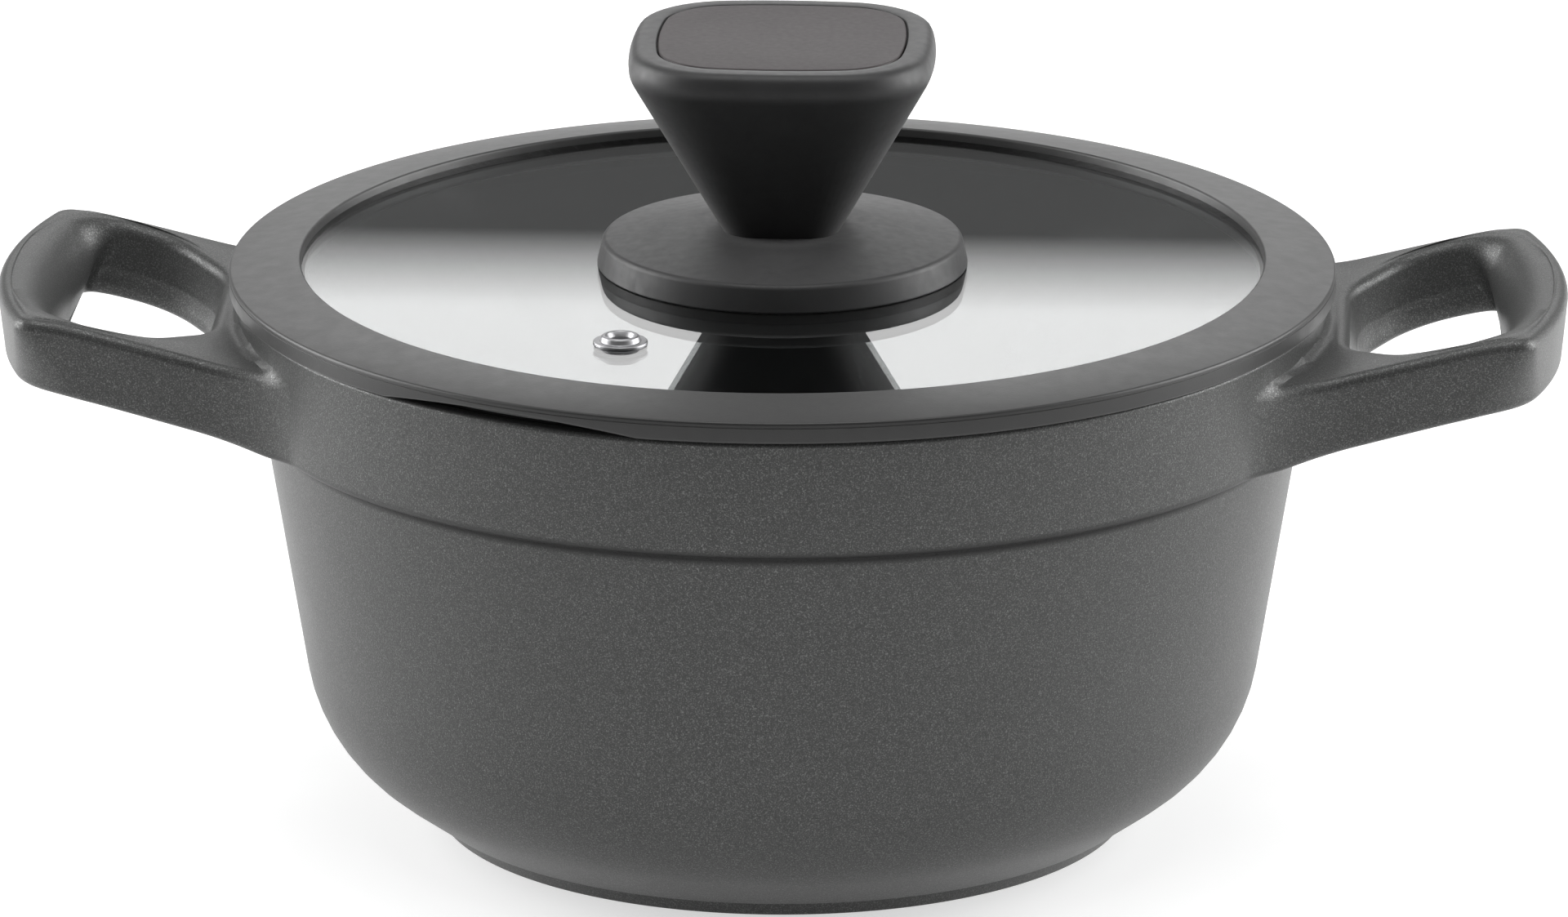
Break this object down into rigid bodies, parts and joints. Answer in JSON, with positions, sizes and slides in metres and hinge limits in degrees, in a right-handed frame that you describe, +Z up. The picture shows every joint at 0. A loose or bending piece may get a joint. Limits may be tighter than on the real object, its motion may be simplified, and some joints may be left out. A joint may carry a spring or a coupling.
{
  "type": "two-handled casserole with glass lid",
  "caption": "Cast pot with a raised band and loop handles, and a lift-off glass lid with a silicone rim, steam vent and flared knob.",
  "frame": {"origin": "centre of the pot's base, on the surface it stands on", "axes": "+Z up through the knob, +X through one loop handle, +Y to the back"},
  "size_m": [0.2988, 0.21, 0.1525],
  "materials": {
    "coated_casting": "dark grey metallic-speckled non-stick coat, satin",
    "induction_steel": "ground stainless steel",
    "rim_silicone": "dark grey moulded silicone, matt",
    "lid_glass": "clear tempered glass",
    "vent_steel": "polished stainless steel",
    "soft_touch": "black soft-touch coated plastic",
    "inlay_satin": "warm dark grey satin plastic",
    "insert_brass": "turned brass",
    "fixing_steel": "plain stainless steel",
    "gasket_silicone": "black silicone"
  },
  "bodies": {
    "pot": {"pot_casting": "coated_casting", "base_disc": "induction_steel"},
    "lid": {"rim_seal": "rim_silicone", "glass_disc": "lid_glass", "vent_eyelet": "vent_steel", "vent_washer": "vent_steel", "knob_base": "soft_touch", "knob_grip": "soft_touch", "knob_inlay": "inlay_satin", "knob_insert": "insert_brass", "knob_screw": "fixing_steel", "screw_washer": "fixing_steel", "upper_gasket": "gasket_silicone", "lower_gasket": "gasket_silicone"}
  },
  "joints": [
    {"name": "lid_lift", "type": "slide", "parent": "pot", "child": "lid", "axis": [0, 0, 1], "range_m": [0, 0.1]}
  ]
}
